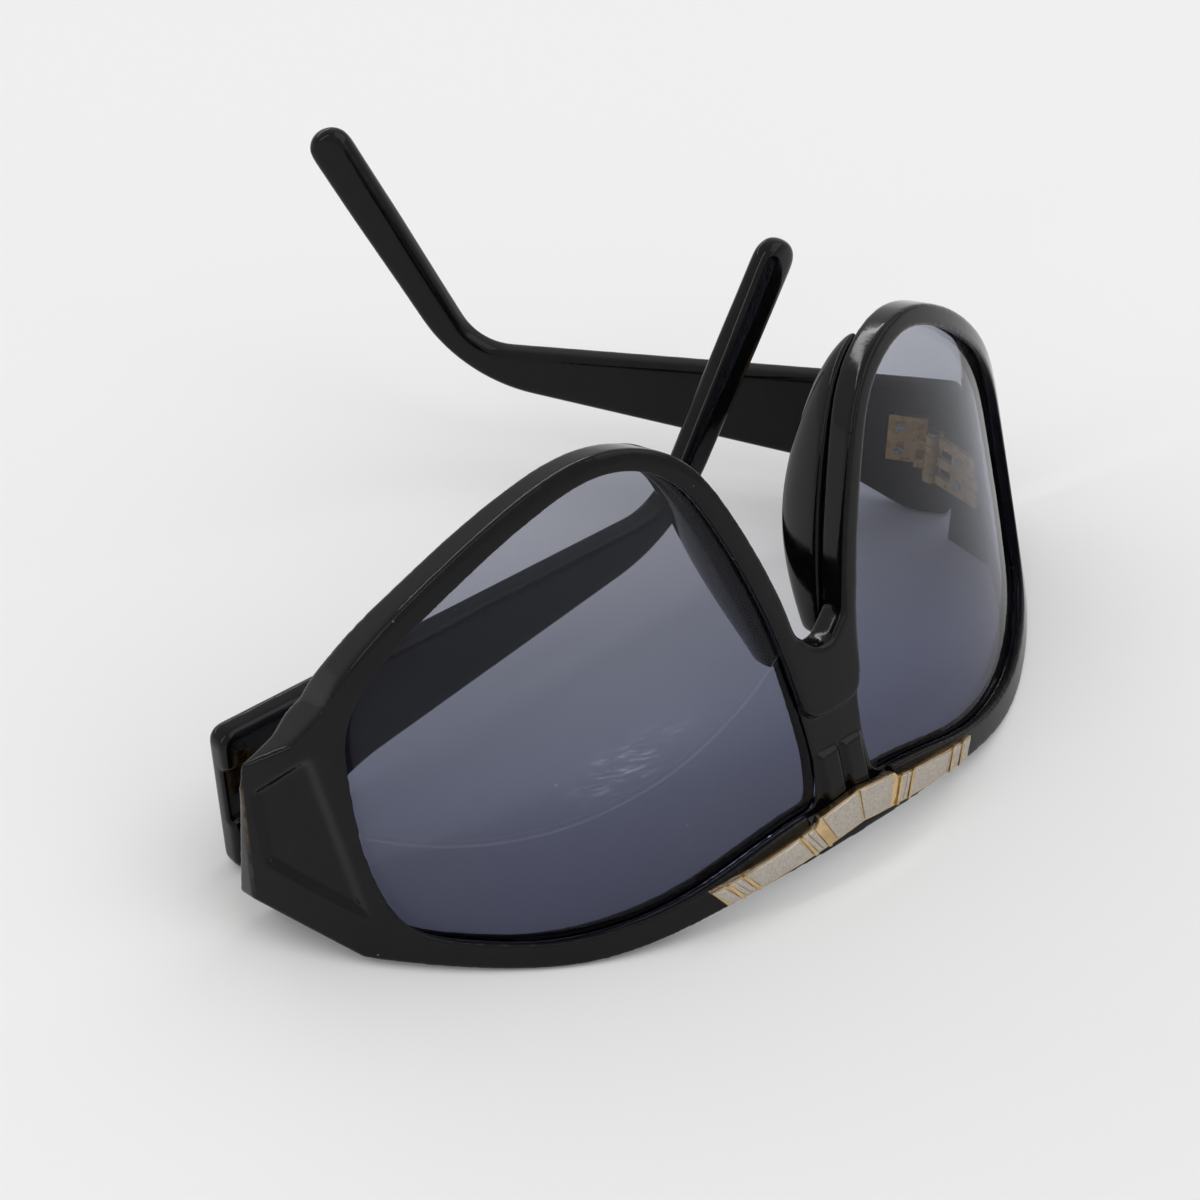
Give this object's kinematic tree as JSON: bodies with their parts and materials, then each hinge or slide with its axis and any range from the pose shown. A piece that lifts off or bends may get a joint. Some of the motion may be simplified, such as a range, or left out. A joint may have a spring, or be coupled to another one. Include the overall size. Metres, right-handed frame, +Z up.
{
  "type": "sunglasses",
  "caption": "Oversized wrap-front sunglasses with black plastic frame, gradient tinted lenses, metal brow trim and hinged temples with ear hooks.",
  "frame": {"origin": "middle of the bounding box at the table the sunglasses lie on", "axes": "+X to the right along the width, +Y from the front towards the ear hooks, +Z up, with the sunglasses lying upside down on their brow"},
  "size_m": [0.1458, 0.1374, 0.0682],
  "materials": {
    "black_plastic": "polished moulded plastic",
    "tinted_lens": "grey-blue gradient tint, polished",
    "gold_trim": "polished gold plate",
    "silver_trim": "fine brushed",
    "hinge_metal": "plain gold plate",
    "fastener_steel": "turned",
    "core_wire": "drawn wire"
  },
  "bodies": {
    "front": {"front_frame": "black_plastic", "lens_left": "tinted_lens", "lens_right": "tinted_lens", "nose_pad_left": "black_plastic", "nose_pad_right": "black_plastic", "brow_bar": "gold_trim", "brow_bar_inlays": "silver_trim", "brow_bar_pins": "gold_trim", "hinge_front_leaf_left": "hinge_metal", "hinge_front_leaf_right": "hinge_metal", "front_rivets_left": "fastener_steel", "front_rivets_right": "fastener_steel", "hinge_screw_left": "fastener_steel", "hinge_screw_right": "fastener_steel"},
    "left_arm": {"temple_left": "black_plastic", "hinge_temple_leaf_left": "hinge_metal", "temple_rivets_left": "fastener_steel", "temple_core_left": "core_wire"},
    "right_arm": {"temple_right": "black_plastic", "hinge_temple_leaf_right": "hinge_metal", "temple_rivets_right": "fastener_steel", "temple_core_right": "core_wire"}
  },
  "joints": [
    {"name": "left_temple_hinge", "type": "hinge", "parent": "front", "child": "left_arm", "pos_m": [-0.0639, -0.01853, 0.0145], "axis": [0, 0, 1], "range_deg": [-4, 86]},
    {"name": "right_temple_hinge", "type": "hinge", "parent": "front", "child": "right_arm", "pos_m": [0.0639, -0.01853, 0.0145], "axis": [0, 0, 1], "range_deg": [-38, 36]}
  ]
}
